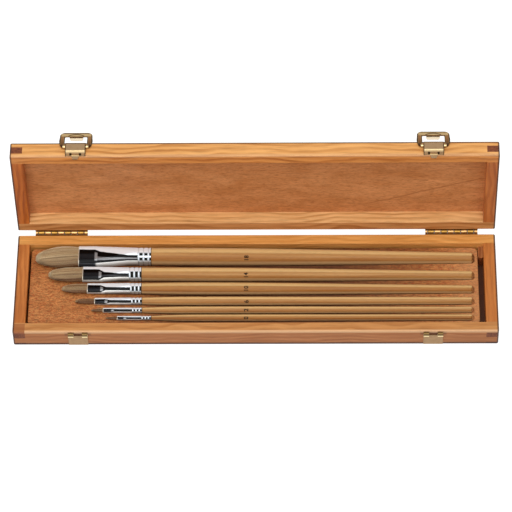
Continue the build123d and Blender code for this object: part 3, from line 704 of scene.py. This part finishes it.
def finish_piece(build, part, number, material, replaced=()):
    """Turn built geometry into a named piece that rides on its brush and stands for its solids."""
    name, body = f"{part}_{number}", f"brush_{number}"
    mesh = bpy.data.meshes.new(name)
    build.to_mesh(mesh)
    build.free()
    mesh.materials.append(material)
    for polygon in mesh.polygons:
        polygon.use_smooth = True
    piece = add_object(name, mesh)
    piece.matrix_world = brush_frame(BRUSH_SIZES[number])
    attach(piece, body)
    if replaced:
        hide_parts(*replaced)


def ferrule_section(size, reach, inset):
    """Give a ferrule's width, height and corner at a distance from the handle's end."""
    mouth_width, mouth_height = size["mouth"]
    neck = 2 * size["neck"]
    round_end = CRIMP_FIRST + CRIMPS * size["pitch"]
    flat_start = size["ferrule"] - size["flat"]
    if reach <= round_end:
        pressed = 0.0
    elif reach <= flat_start:
        pressed = FLAT_PRESS * (reach - round_end) / (flat_start - round_end)
    else:
        pressed = FLAT_PRESS + (1 - FLAT_PRESS) * (reach - flat_start) / size["flat"]
    width = neck + pressed * (mouth_width - neck)
    height = neck + pressed * (mouth_height - neck)
    corner = CORNER_SHARE * height / 2
    return width - 2 * inset, height - 2 * inset, corner - inset


def crimp_inset(size, reach):
    """Give how far the crimps and lips draw the ferrule in at a distance from the handle's end."""
    depth = 0.045 * size["neck"] + 0.12
    inset = 0.0
    for index in range(CRIMPS):
        away = (reach - CRIMP_FIRST - index * size["pitch"]) / CRIMP_REACH
        inset += depth * math.exp(-away * away)
    to_end = min(reach, size["ferrule"] - reach)
    return inset + LIP_DEPTH * max(0.0, 1 - to_end / LIP_REACH)


def flat_number(number, height):
    """Draw a size number as flat faces with the stroke weight of stamped foil."""
    curve = bpy.data.curves.new(f"number_{number}_outline", "FONT")
    curve.body = str(number)
    # The font's figures stand 0.7 of its size high.
    curve.size = height / 0.7
    curve.offset = 0.01 * height
    curve.align_x, curve.align_y = "CENTER", "CENTER"
    letters = add_object(f"number_{number}_outline", curve)
    flat = bpy.data.meshes.new_from_object(letters.evaluated_get(bpy.context.evaluated_depsgraph_get()))
    bpy.data.objects.remove(letters)
    build = bmesh.new()
    build.from_mesh(flat)
    build.faces.ensure_lookup_table()
    face_count = len(build.faces)
    bpy.data.meshes.remove(flat)
    # Four copies, each a little to one side, give the strokes their weight.
    weight = 0.028 * height
    for right, up in ((0, -2), (-2, 0), (-2, -2)):
        copies = bmesh.ops.duplicate(build, geom=build.faces[:face_count])["geom"]
        moved = [part for part in copies if isinstance(part, bmesh.types.BMVert)]
        bmesh.ops.translate(build, verts=moved, vec=(right * weight, up * weight, 0))
    bmesh.ops.translate(build, verts=build.verts, vec=(weight, weight, 0))
    return build


def size_number(number, size, height, material):
    """Print a brush's size across its handle, wrapped round the wood, its top towards the hair."""
    build = flat_number(number, height)
    # Cuts across the strokes let them bend round the wood.
    for step in range(-16, 17):
        geometry = list(build.verts) + list(build.edges) + list(build.faces)
        cut = (step * height / 12, 0, 0)
        bmesh.ops.bisect_plane(build, geom=geometry, plane_co=cut, plane_no=(1, 0, 0))
    wood = nodes[f"brush_{number}_handle"]
    to_own = brush_frame(size).inverted() @ wood.matrix_world
    surface = BVHTree.FromPolygons(
        [to_own @ vertex.co for vertex in wood.data.vertices],
        [tuple(polygon.vertices) for polygon in wood.data.polygons],
    )
    distance, tilt = size["mark"]
    # A ray from 30 mm outside finds the wood, and the ink lies 0.03 mm on top of it.
    for vertex in build.verts:
        turn = tilt + vertex.co.x / (size["belly"] * MM)
        outward = math.cos(turn) * TOWARDS_VIEW + math.sin(turn) * ACROSS_VIEW
        along = Vector((distance * MM + vertex.co.y, 0, 0))
        hit = surface.ray_cast(along + 0.03 * outward, -outward)[0]
        vertex.co = hit + 0.03 * MM * outward
    finish_piece(build, "number", number, material)


def grow_hair(build, tone, chance, size, girth):
    """Grow one hair from inside the ferrule to its place on the filbert outline."""
    mouth = size["length"] - size["hair"]
    half_width, half_height = [extent / 2 - FERRULE_METAL - 0.05 for extent in size["mouth"]]
    angle = chance.uniform(0, 2 * math.pi)
    from_centre = math.sqrt(chance.uniform(0.0, 1.0))
    across = from_centre * math.cos(angle)
    rise = from_centre * math.sin(angle)
    # A filbert's outline is full in the middle and less than half as long at the sides.
    outline = math.sqrt(max(0.0, 1 - abs(across) ** 2.9))
    reach = size["hair"] * (0.42 + 0.58 * outline) * chance.uniform(0.94, 1.0)
    swell, sag = size["belly_out"]
    # Each hair's tone varies at random and with its brush's age. Painted light makes the rear edge and most
    # tips paler, and painted shade makes the front side browner.
    shade = chance.gauss(0.56, 0.2) - size["hair_age"]
    shade += 2.4 * max(0.0, -across - 0.72) - 1.1 * max(0.0, across - 0.5)
    before = None
    for step in range(HAIR_STEPS + 1):
        along = step / HAIR_STEPS
        x = mouth - HAIR_ROOT + (reach + HAIR_ROOT) * along
        out = max(0.0, (x - mouth) / size["hair"])
        bulge = 1.0 + swell * math.sin(min(1.0, out * 1.15) * math.pi)
        y = across * half_width * bulge * (1 - 0.1 * out**2) + sag * out**1.5
        z = rise * half_height * (1.0 + 0.5 * swell - 0.9 * out**1.8)
        radius = girth * (1.0 if along < 0.75 else 1.0 - 0.8 * (along - 0.75) / 0.25) / 2
        tip = 0.5 if across < 0.35 and along > 0.93 else 0.0
        ring = []
        for corner in range(HAIR_SIDES):
            turn = corner * 2 * math.pi / HAIR_SIDES + angle
            place = (x * MM, (y + radius * math.cos(turn)) * MM, (z + radius * math.sin(turn)) * MM)
            ring.append(build.verts.new(place))
            ring[-1][tone] = min(1.0, max(0.0, shade + tip))
        if before:
            bridge(build, before, ring)
        before = ring
    build.faces.new(before)


def colour_setting(name, description, hex_colour):
    """Make a colour setting with a hex colour as its default."""
    return bpy.props.FloatVectorProperty(
        name=name, description=description, default=linear(hex_colour), size=4, min=0.0, max=1.0, subtype="COLOR"
    )


def length_setting(name, description, millimetres):
    """Make a length setting with its default in millimetres."""
    return bpy.props.FloatProperty(
        name=name, description=description, default=millimetres * MM, min=0.0, subtype="DISTANCE", unit="LENGTH"
    )


class BRUSHBOX_PG_case(bpy.types.PropertyGroup):
    """Colours of the stained wood, each the light wood between the growth rings."""

    base_front: colour_setting("Base Front", "Front wall of the base", "#CC9054")
    base_rear: colour_setting("Base Rear", "Rear wall of the base", "#E8A65A")
    base_sides: colour_setting("Base Sides", "Side walls of the base", "#C67A3A")
    lid_front: colour_setting("Lid Front", "Front wall of the lid, which carries the latches", "#EEAE66")
    lid_rear: colour_setting("Lid Rear", "Rear wall of the lid, by the hinges", "#F6C486")
    lid_sides: colour_setting("Lid Sides", "Side walls of the lid", "#CC7E48")
    lid_panel: colour_setting("Lid Panel", "Veneered panel of the lid", "#DC945C")
    # The base panel is given dark, as painted shade for the deep gaps through which it shows.
    base_panel: colour_setting("Base Panel", "Veneered panel under the insert board", "#5A3420")
    board: colour_setting("Insert Board", "Grooved board that holds the brushes", "#DE9252")
    stop_block: colour_setting("Stop Block", "Small block beside the insert board", "#A86A3C")


class BRUSHBOX_PG_hardware(bpy.types.PropertyGroup):
    """Colours of the plated hinges and latches."""

    # The base leaves are given lighter and the lid leaves darker, as painted light and shade on alternate knuckles.
    hinge_bright: colour_setting("Base Leaves", "Brass of the hinge leaves on the base", "#CA9E68")
    hinge_dull: colour_setting("Lid Leaves", "Brass of the hinge leaves on the lid", "#AC8440")
    screws: colour_setting("Screws and Pins", "Brass of the hinge screws and pins", "#C8A86A")
    latch_plate: colour_setting("Latch Plates", "Aged brass of the latch housings", "#9C8060")
    latch_loop: colour_setting("Latch Loops", "Aged brass of the swinging loops", "#AC8C5A")
    latch_catch: colour_setting("Latch Catches", "Aged brass of the hooked catches", "#A28462")


class BRUSHBOX_PG_brushes(bpy.types.PropertyGroup):
    """Colours and sizes of the brushes."""

    handle_pale: colour_setting("Pale Handle", "Wood of the palest handles", "#BA8A4C")
    handle_amber: colour_setting("Amber Handle", "Wood of the most golden handle", "#9C641A")
    # The streaks lie in a band across the view, partly figure and partly a painted reflection.
    streak: colour_setting("Handle Streaks", "Darker streaks along the handles", "#9A600C")
    # The ferrules' white is their painted reflection of the room's light.
    nickel: colour_setting("Ferrules", "Polished nickel in full light", "#F0F8FE")
    bristle: colour_setting("Bristle", "Bleached bristle of the heads", "#BE9F74")
    ink: colour_setting("Ink", "Ink of the size numbers", "#24160A")
    number_height: length_setting("Number Height", "Height of the size numbers", 3.2)
    hair_girth: length_setting("Hair Girth", "Thickness that stands for a few hairs each", 0.2)


class BRUSHBOX_OT_case(bpy.types.Operator):
    """Stain and varnish the walls, panels and insert board of the case"""

    bl_idname = "brushbox.case"
    bl_label = "Wooden Case"

    def execute(self, context):
        stain = context.scene.brushbox_case
        # Grain direction, light wood, ring darkness, shift, ring pitch with the pith's place, drift of
        # hue and the tint of painted shade on the side towards the user.
        pines = {
            "base_front_wall": ("X", stain.base_front, 0.3, (13, 5, 3), (3.6, -24, 44), 0.16, "#EEDEE6"),
            "base_rear_wall": ("X", stain.base_rear, 0.2, (41, 9, 8), (3.2, 14, -8), 0.14, "#FFFFFF"),
            "base_left_wall": ("Y", stain.base_sides, 0.3, (5, 71, 2), (3.4, 150, 2), 0.24, "#FFFFFF"),
            "base_right_wall": ("Y", stain.base_sides, 0.2, (5, 33, 2), (3.4, -150, 2), 0.14, "#FFFFFF"),
            "lid_front_wall": ("X", stain.lid_front, 0.4, (83, 3, 3), (3.9, 22, 84), 0.12, "#F0D8C2"),
            "lid_rear_wall": ("X", stain.lid_rear, 0.36, (19, 2, 7), (3.7, 22, 8), 0.14, "#D4BCAA"),
            "lid_left_wall": ("Z", stain.lid_sides, 0.45, (7, 9, 51), (3.4, 20, 150), 0.2, "#FFE8A4"),
            "lid_right_wall": ("Z", stain.lid_sides, 0.36, (7, 9, 17), (3.4, 20, -150), 0.14, "#F4E8CC"),
        }
        for name, (*wood, rim) in pines.items():
            dress(name, sawn_pine(f"Stained_Pine_{name}", *wood, name.split("_")[0], rim))
        block = ("Y", stain.stop_block, 0.4, (3, 5, 7), (2.8, -150, 2), 0.15)
        dress("insert_stop_block", sawn_pine("Stained_Pine_stop_block", *block))
        # Light wood, shift, length and width of the figure, its contrast, and the flecks' length,
        # width, share and colour.
        lid = (stain.lid_panel, (0, 0, 0), (12.0, 1.6), 0.24, (4.6, 0.9, 0.55, "#98562A"))
        # The base panel's dark colour is painted shade for the gaps through which it shows.
        base = (stain.base_panel, (9, 50, 2), (16.0, 1.5), 0.2, (5.0, 0.9, 0.3, "#6E3A1C"))
        board = (stain.board, (60, 31, 12), (5.0, 1.4), 0.62, (2.8, 1.0, 0.9, "#98401A"))
        dress("lid_panel", rotary_veneer("Stained_Veneer_lid", *lid, slanting_line))
        dress("base_panel", rotary_veneer("Stained_Veneer_base", *base))
        dress("insert_board", rotary_veneer("Stained_Board", *board, handled_board))
        return {"FINISHED"}


class BRUSHBOX_OT_hinges(bpy.types.Operator):
    """Plate the strip hinges, their pins and their screws"""

    bl_idname = "brushbox.hinges"
    bl_label = "Strip Hinges"

    def execute(self, context):
        metal = context.scene.brushbox_hardware
        # The two leaves are one brass, painted lighter on the base leaves and darker on the lid leaves, as lit and
        # shaded copies.
        bright = plated_brass("Plated_Brass_base_leaf", metal.hinge_bright, "#8E6E38", 0.28, 0.4, hinge_tarnish)
        dull = plated_brass("Plated_Brass_lid_leaf", metal.hinge_dull, "#7A5A2C", 0.34, 0.6, hinge_tarnish)
        plain = plated_brass("Plated_Brass_screws", metal.screws, "#6A4C24", 0.32, 0.5)
        for side in ("left", "right"):
            dress(f"{side}_hinge_base_leaf", bright)
            dress(f"{side}_hinge_lid_leaf", dull)
            dress(f"{side}_hinge_pin", plain)
        dress("hinge_base_screws", plain)
        dress("hinge_lid_screws", plain)
        return {"FINISHED"}


class BRUSHBOX_OT_latches(bpy.types.Operator):
    """Finish the two sprung latches in aged brass"""

    bl_idname = "brushbox.latches"
    bl_label = "Latches"

    def execute(self, context):
        metal = context.scene.brushbox_hardware
        plate = plated_brass("Aged_Brass_plate", metal.latch_plate, "#806040", 0.45, 0.3, plate_shade)
        loop = plated_brass("Aged_Brass_loop", metal.latch_loop, "#6A4C28", 0.26, 0.35, loop_shade)
        catch = plated_brass("Aged_Brass_catch", metal.latch_catch, "#806040", 0.42, 0.3, catch_shade)
        for side in ("left", "right"):
            dress(f"{side}_latch_plate", plate)
            dress(f"{side}_latch_pivot", plate)
            dress(f"{side}_latch_loop", loop)
            dress(f"{side}_latch_catch", catch)
        return {"FINISHED"}


class BRUSHBOX_OT_handles(bpy.types.Operator):
    """Lacquer the brush handles"""

    bl_idname = "brushbox.handles"
    bl_label = "Handles"

    def execute(self, context):
        wood = context.scene.brushbox_brushes
        for number, size in BRUSH_SIZES.items():
            amber, streak_share = size["wood"]
            colour = [pale + (gold - pale) * amber for pale, gold in zip(wood.handle_pale, wood.handle_amber)]
            dress(f"brush_{number}_handle", lacquered_handle(number, size, colour, wood.streak, streak_share))
        return {"FINISHED"}


class BRUSHBOX_OT_numbers(bpy.types.Operator):
    """Stamp each handle with its brush's size"""

    bl_idname = "brushbox.numbers"
    bl_label = "Size Numbers"

    def execute(self, context):
        settings = context.scene.brushbox_brushes
        ink = stamped_ink("Stamped_Ink", settings.ink)
        for number, size in BRUSH_SIZES.items():
            size_number(number, size, settings.number_height, ink)
        return {"FINISHED"}


class BRUSHBOX_OT_ferrules(bpy.types.Operator):
    """Form the polished ferrules with their rolled crimps and pressed mouths"""

    bl_idname = "brushbox.ferrules"
    bl_label = "Ferrules"

    def execute(self, context):
        colour = context.scene.brushbox_brushes.nickel
        for number, size in BRUSH_SIZES.items():
            length = size["ferrule"]
            start = size["length"] - size["hair"] - length
            steps = max(60, int(length / 0.3))
            # The outside has a section every 0.3 mm. The first and the last two line the inside.
            outside = [length * step / steps for step in range(steps + 1)]
            sections = [(0.0, FERRULE_METAL), *((reach, crimp_inset(size, reach)) for reach in outside)]
            sections += [(length - 0.05, FERRULE_METAL), (length - 4.0, FERRULE_METAL)]
            rings = [(start + reach, rounded_ring(*ferrule_section(size, reach, inset))) for reach, inset in sections]
            metal = nickel(number, size, colour)
            solid = f"brush_{number}_ferrule"
            finish_piece(skin_rings(rings), "ferrule", number, metal, [solid])
        return {"FINISHED"}


class BRUSHBOX_OT_hair(bpy.types.Operator):
    """Set the filbert heads, hair by hair"""

    bl_idname = "brushbox.hair"
    bl_label = "Hair"

    def execute(self, context):
        settings = context.scene.brushbox_brushes
        material = bristle("Bleached_Bristle", settings.bristle)
        for number, size in BRUSH_SIZES.items():
            chance = random.Random(100 + number)
            build = bmesh.new()
            tone = build.verts.layers.float.new("hair_tone")
            for _ in range(size["hairs"]):
                grow_hair(build, tone, chance, size, settings.hair_girth / MM)
            finish_piece(build, "hair", number, material, [f"brush_{number}_hair"])
        return {"FINISHED"}


class BRUSHBOX_OT_stage(bpy.types.Operator):
    """Set the floor, the studio lamps, the world and the camera"""

    bl_idname = "brushbox.stage"
    bl_label = "Studio"

    def execute(self, context):
        lay_floor()
        light_world(context.scene)
        # Place and aim in metres, width and height of the lamp's face, and power in watts.
        for name, place, aim, size, energy in (
            ("key_softbox", (0.0, -0.75, 1.55), (0, 0, 0.03), (1.6, 1.0), 17.0),
            ("top_softbox", (0.0, 0.22, 1.5), (0, 0, 0.0), (1.6, 0.4), 5.0),
            ("fill_softbox", (-0.6, -1.5, 0.8), (0, 0, 0.05), (1.2, 1.0), 6.0),
        ):
            lamp = bpy.data.lights.new(name, "AREA")
            lamp.shape = "RECTANGLE"
            lamp.size, lamp.size_y = size
            lamp.energy = energy
            holder = add_object(name, lamp)
            holder.location = place
            holder.rotation_mode = "QUATERNION"
            holder.rotation_quaternion = (Vector(aim) - Vector(place)).to_track_quat("-Z", "Y")
        context.scene.view_settings.view_transform = "Standard"
        context.scene.camera = aimed_camera()
        return {"FINISHED"}


def seen_directly(tree):
    """Give 1 for rays from the camera, a mirror or glass, and 0 for all other light."""
    rays = add_node(tree, "LightPath").outputs
    return most(rays["Is Camera Ray"], rays["Is Glossy Ray"], rays["Is Transmission Ray"])


def lay_floor():
    """Lay a pale floor that looks evenly lit where it is seen and throws little light back."""
    mesh = bpy.data.meshes.new("floor")
    corners = [(x * FLOOR_HALF, y * FLOOR_HALF, 0) for x, y in ((-1, -1), (1, -1), (1, 1), (-1, 1))]
    mesh.from_pydata(corners, [], [(0, 1, 2, 3)])
    floor = add_object("floor", mesh)
    material, tree, shader = new_material("Pale_Paper_Floor")
    tree.nodes.remove(shader)
    lit = add_node(tree, "BsdfDiffuse", {"Color": (0.55, 0.55, 0.55, 1)}).outputs[0]
    faint = add_node(tree, "BsdfDiffuse", {"Color": (0.3, 0.3, 0.3, 1)}).outputs[0]
    glow = add_node(tree, "Emission", {"Color": (1, 1, 1, 1), "Strength": 0.92}).outputs[0]
    bright = add_node(tree, "AddShader", {0: faint, 1: glow}).outputs[0]
    mixed = add_node(tree, "MixShader", {0: seen_directly(tree), 1: lit, 2: bright}).outputs[0]
    tree.links.new(mixed, tree.nodes["Material Output"].inputs["Surface"])
    mesh.materials.append(material)


def light_world(scene):
    """Surround the scene with white that is seen in full and lights the box only weakly."""
    scene.world = bpy.data.worlds.new("studio")
    scene.world.use_nodes = True
    tree = scene.world.node_tree
    tree.nodes.clear()
    strength = spread(seen_directly(tree), 0, 1, 0.36, 1.0)
    background = add_node(tree, "Background", {"Color": (1, 1, 1, 1), "Strength": strength})
    add_node(tree, "OutputWorld", {"Surface": background.outputs[0]}).is_active_output = True


def aimed_camera():
    """Add the camera at the photograph's angle."""
    azimuth, elevation, roll = [math.radians(angle) for angle in CAMERA_TURN]
    level = math.cos(elevation)
    look = Vector((math.sin(azimuth) * level, math.cos(azimuth) * level, -math.sin(elevation)))
    right = look.cross(Vector((0, 0, 1))).normalized()
    up = right.cross(look)
    turned_right = math.cos(roll) * right + math.sin(roll) * up
    turned_up = math.cos(roll) * up - math.sin(roll) * right
    place = Matrix((turned_right, turned_up, -look)).transposed().to_4x4()
    place.translation = Vector(CAMERA_AIM) * MM - look * CAMERA_AWAY * MM
    camera = bpy.data.cameras.new("camera")
    camera.sensor_width = SENSOR_WIDTH
    camera.lens = SENSOR_WIDTH * FOCAL_PIXELS / PICTURE_PIXELS
    camera.clip_start, camera.clip_end = 0.1, 50.0
    holder = add_object("camera", camera)
    holder.matrix_world = place
    return holder


class BRUSHBOX_PT_panel(bpy.types.Panel):
    """Lists the steps that finish the brush box"""

    bl_idname = "BRUSHBOX_PT_panel"
    bl_label = "Brush Box"
    bl_space_type = "VIEW_3D"
    bl_region_type = "UI"
    bl_category = "Brush Box"

    def draw(self, context):
        for name in GROUPS:
            settings = getattr(context.scene, name)
            for setting in settings.__annotations__:
                self.layout.prop(settings, setting)
        for step in STEPS:
            self.layout.operator(step.bl_idname)


STEPS = (
    BRUSHBOX_OT_case,
    BRUSHBOX_OT_hinges,
    BRUSHBOX_OT_latches,
    BRUSHBOX_OT_handles,
    BRUSHBOX_OT_numbers,
    BRUSHBOX_OT_ferrules,
    BRUSHBOX_OT_hair,
    BRUSHBOX_OT_stage,
)
GROUPS = {
    "brushbox_case": BRUSHBOX_PG_case,
    "brushbox_hardware": BRUSHBOX_PG_hardware,
    "brushbox_brushes": BRUSHBOX_PG_brushes,
}


def register():
    for group in GROUPS.values():
        bpy.utils.register_class(group)
    for name, group in GROUPS.items():
        setattr(bpy.types.Scene, name, bpy.props.PointerProperty(type=group))
    for step in STEPS:
        bpy.utils.register_class(step)
    bpy.utils.register_class(BRUSHBOX_PT_panel)


def unregister():
    bpy.utils.unregister_class(BRUSHBOX_PT_panel)
    for step in reversed(STEPS):
        bpy.utils.unregister_class(step)
    for name, group in GROUPS.items():
        delattr(bpy.types.Scene, name)
        bpy.utils.unregister_class(group)


def main():
    register()
    bpy.ops.brushbox.case()
    bpy.ops.brushbox.hinges()
    bpy.ops.brushbox.latches()
    bpy.ops.brushbox.handles()
    bpy.ops.brushbox.numbers()
    bpy.ops.brushbox.ferrules()
    bpy.ops.brushbox.hair()
    bpy.ops.brushbox.stage()


if __name__ == "__main__":
    main()
